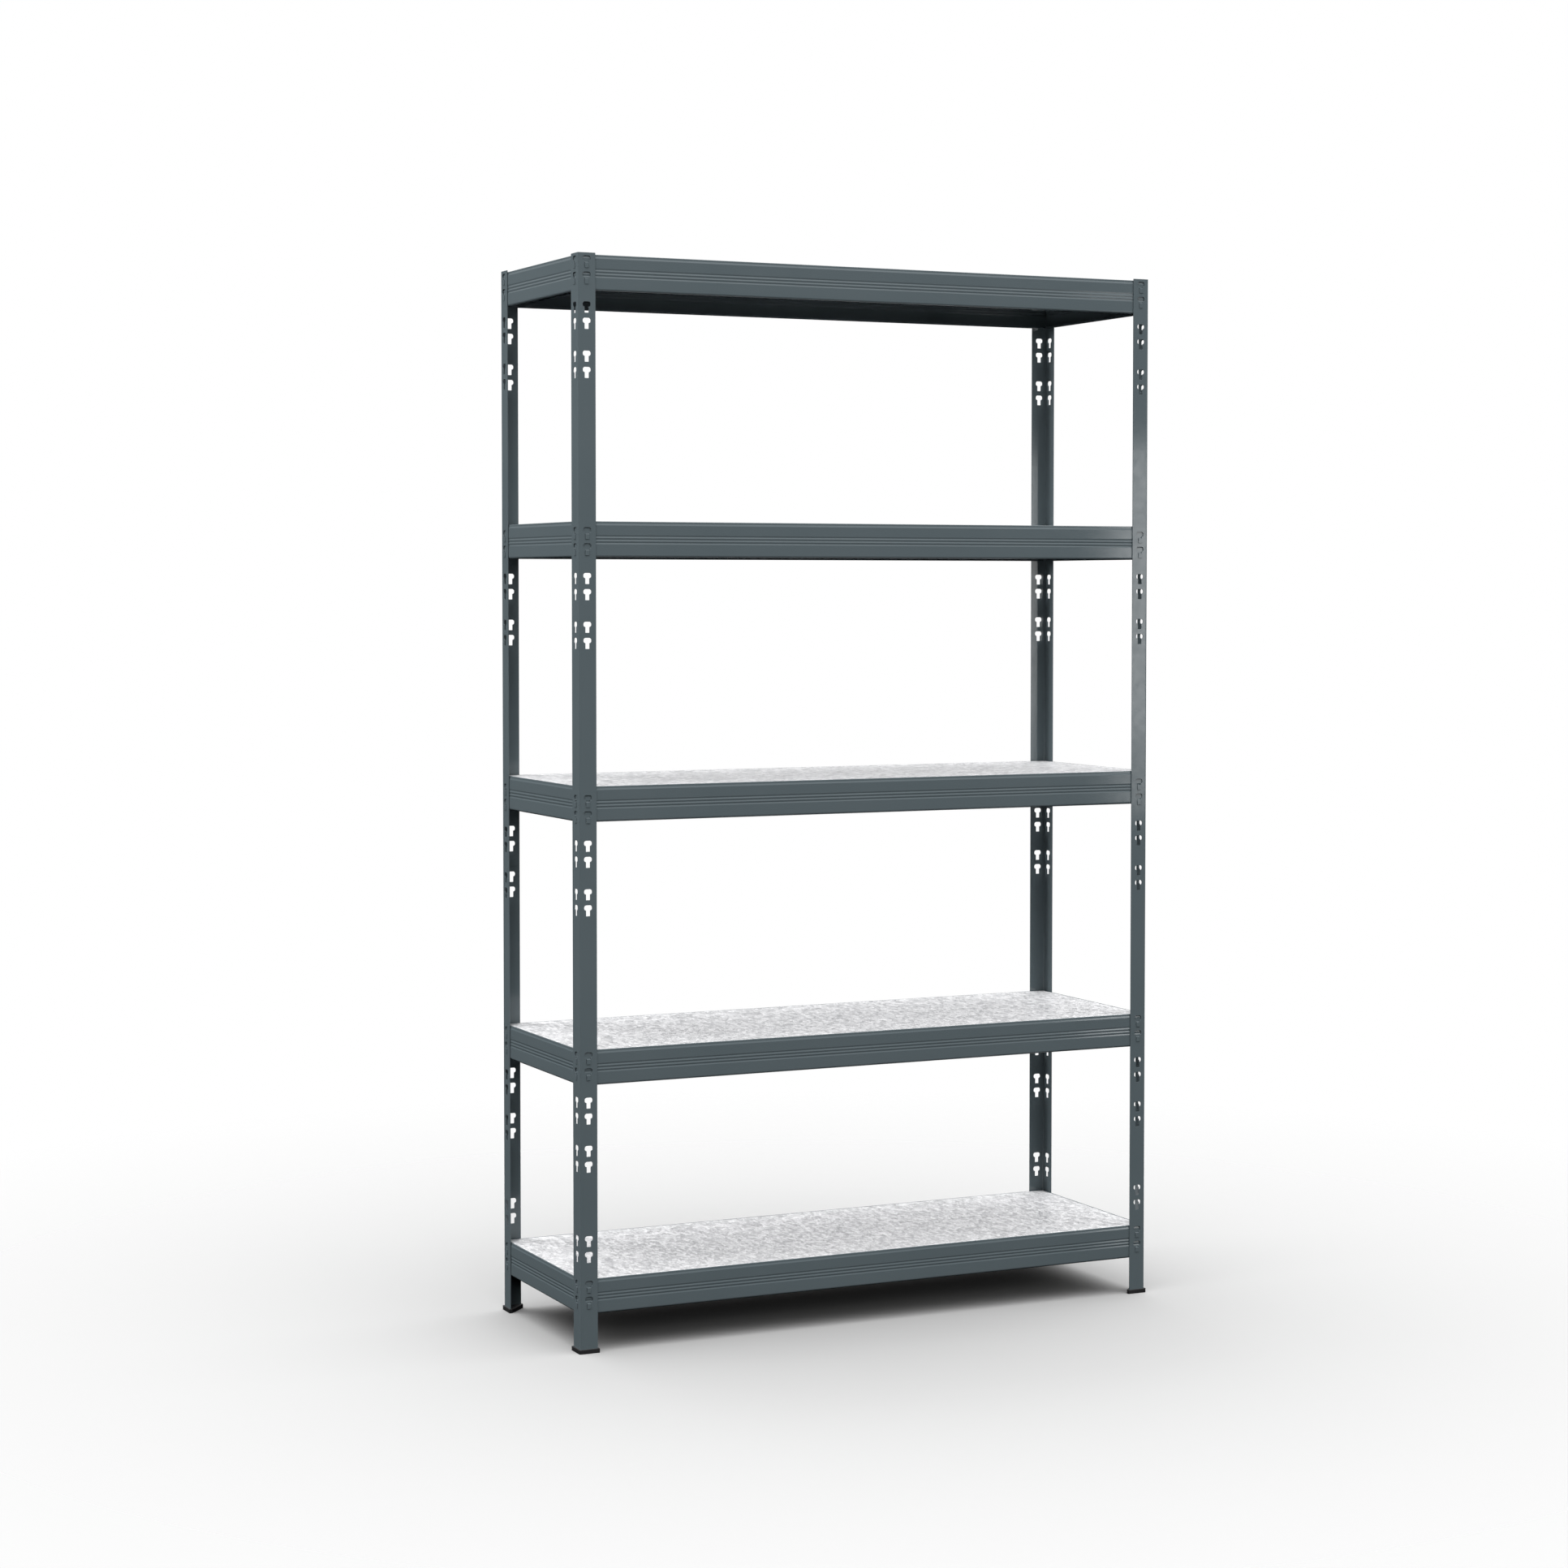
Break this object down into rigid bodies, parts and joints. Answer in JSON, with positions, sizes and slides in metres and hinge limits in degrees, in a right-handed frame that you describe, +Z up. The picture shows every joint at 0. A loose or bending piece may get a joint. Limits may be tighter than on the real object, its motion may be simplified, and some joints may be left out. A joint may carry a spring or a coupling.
{
  "type": "boltless steel shelving",
  "caption": "Freestanding boltless shelving with slotted angle posts, hooked ribbed beams and lift-out sheet steel shelf panels, for storing boxes and goods.",
  "frame": {"origin": "on the floor under the middle of the rack", "axes": "+X to the right along the width, -Y to the front, +Z up"},
  "size_m": [1.2064, 0.4064, 2],
  "materials": {
    "grey_paint": "semi-gloss anthracite grey powder coat",
    "galvanised_sheet": "galvanised, fine pale spangle, satin",
    "foot_plastic": "moulded, matt black"
  },
  "bodies": {
    "rack": {"post_front_left": "grey_paint", "post_front_right": "grey_paint", "post_back_right": "grey_paint", "post_back_left": "grey_paint", "foot_front_left": "foot_plastic", "foot_front_right": "foot_plastic", "foot_back_right": "foot_plastic", "foot_back_left": "foot_plastic"},
    "level_1": {"front_beam_1": "grey_paint", "back_beam_1": "grey_paint", "left_beam_1": "grey_paint", "right_beam_1": "grey_paint"},
    "panel_1": {"shelf_panel_1": "galvanised_sheet", "panel_stiffener_1": "galvanised_sheet"},
    "level_2": {"front_beam_2": "grey_paint", "back_beam_2": "grey_paint", "left_beam_2": "grey_paint", "right_beam_2": "grey_paint"},
    "panel_2": {"shelf_panel_2": "galvanised_sheet", "panel_stiffener_2": "galvanised_sheet"},
    "level_3": {"front_beam_3": "grey_paint", "back_beam_3": "grey_paint", "left_beam_3": "grey_paint", "right_beam_3": "grey_paint"},
    "panel_3": {"shelf_panel_3": "galvanised_sheet", "panel_stiffener_3": "galvanised_sheet"},
    "level_4": {"front_beam_4": "grey_paint", "back_beam_4": "grey_paint", "left_beam_4": "grey_paint", "right_beam_4": "grey_paint"},
    "panel_4": {"shelf_panel_4": "galvanised_sheet", "panel_stiffener_4": "galvanised_sheet"},
    "level_5": {"front_beam_5": "grey_paint", "back_beam_5": "grey_paint", "left_beam_5": "grey_paint", "right_beam_5": "grey_paint"},
    "panel_5": {"shelf_panel_5": "galvanised_sheet", "panel_stiffener_5": "galvanised_sheet"}
  },
  "joints": [
    {"name": "level_1_unhook", "type": "slide", "parent": "rack", "child": "level_1", "axis": [0, 0, 1], "range_m": [0, 0.008]},
    {"name": "panel_1_lift", "type": "slide", "parent": "level_1", "child": "panel_1", "axis": [0, 0, 1], "range_m": [0, 0.05]},
    {"name": "level_2_unhook", "type": "slide", "parent": "rack", "child": "level_2", "axis": [0, 0, 1], "range_m": [0, 0.008]},
    {"name": "panel_2_lift", "type": "slide", "parent": "level_2", "child": "panel_2", "axis": [0, 0, 1], "range_m": [0, 0.05]},
    {"name": "level_3_unhook", "type": "slide", "parent": "rack", "child": "level_3", "axis": [0, 0, 1], "range_m": [0, 0.008]},
    {"name": "panel_3_lift", "type": "slide", "parent": "level_3", "child": "panel_3", "axis": [0, 0, 1], "range_m": [0, 0.05]},
    {"name": "level_4_unhook", "type": "slide", "parent": "rack", "child": "level_4", "axis": [0, 0, 1], "range_m": [0, 0.008]},
    {"name": "panel_4_lift", "type": "slide", "parent": "level_4", "child": "panel_4", "axis": [0, 0, 1], "range_m": [0, 0.05]},
    {"name": "level_5_unhook", "type": "slide", "parent": "rack", "child": "level_5", "axis": [0, 0, 1], "range_m": [0, 0.008]},
    {"name": "panel_5_lift", "type": "slide", "parent": "level_5", "child": "panel_5", "axis": [0, 0, 1], "range_m": [0, 0.05]}
  ]
}
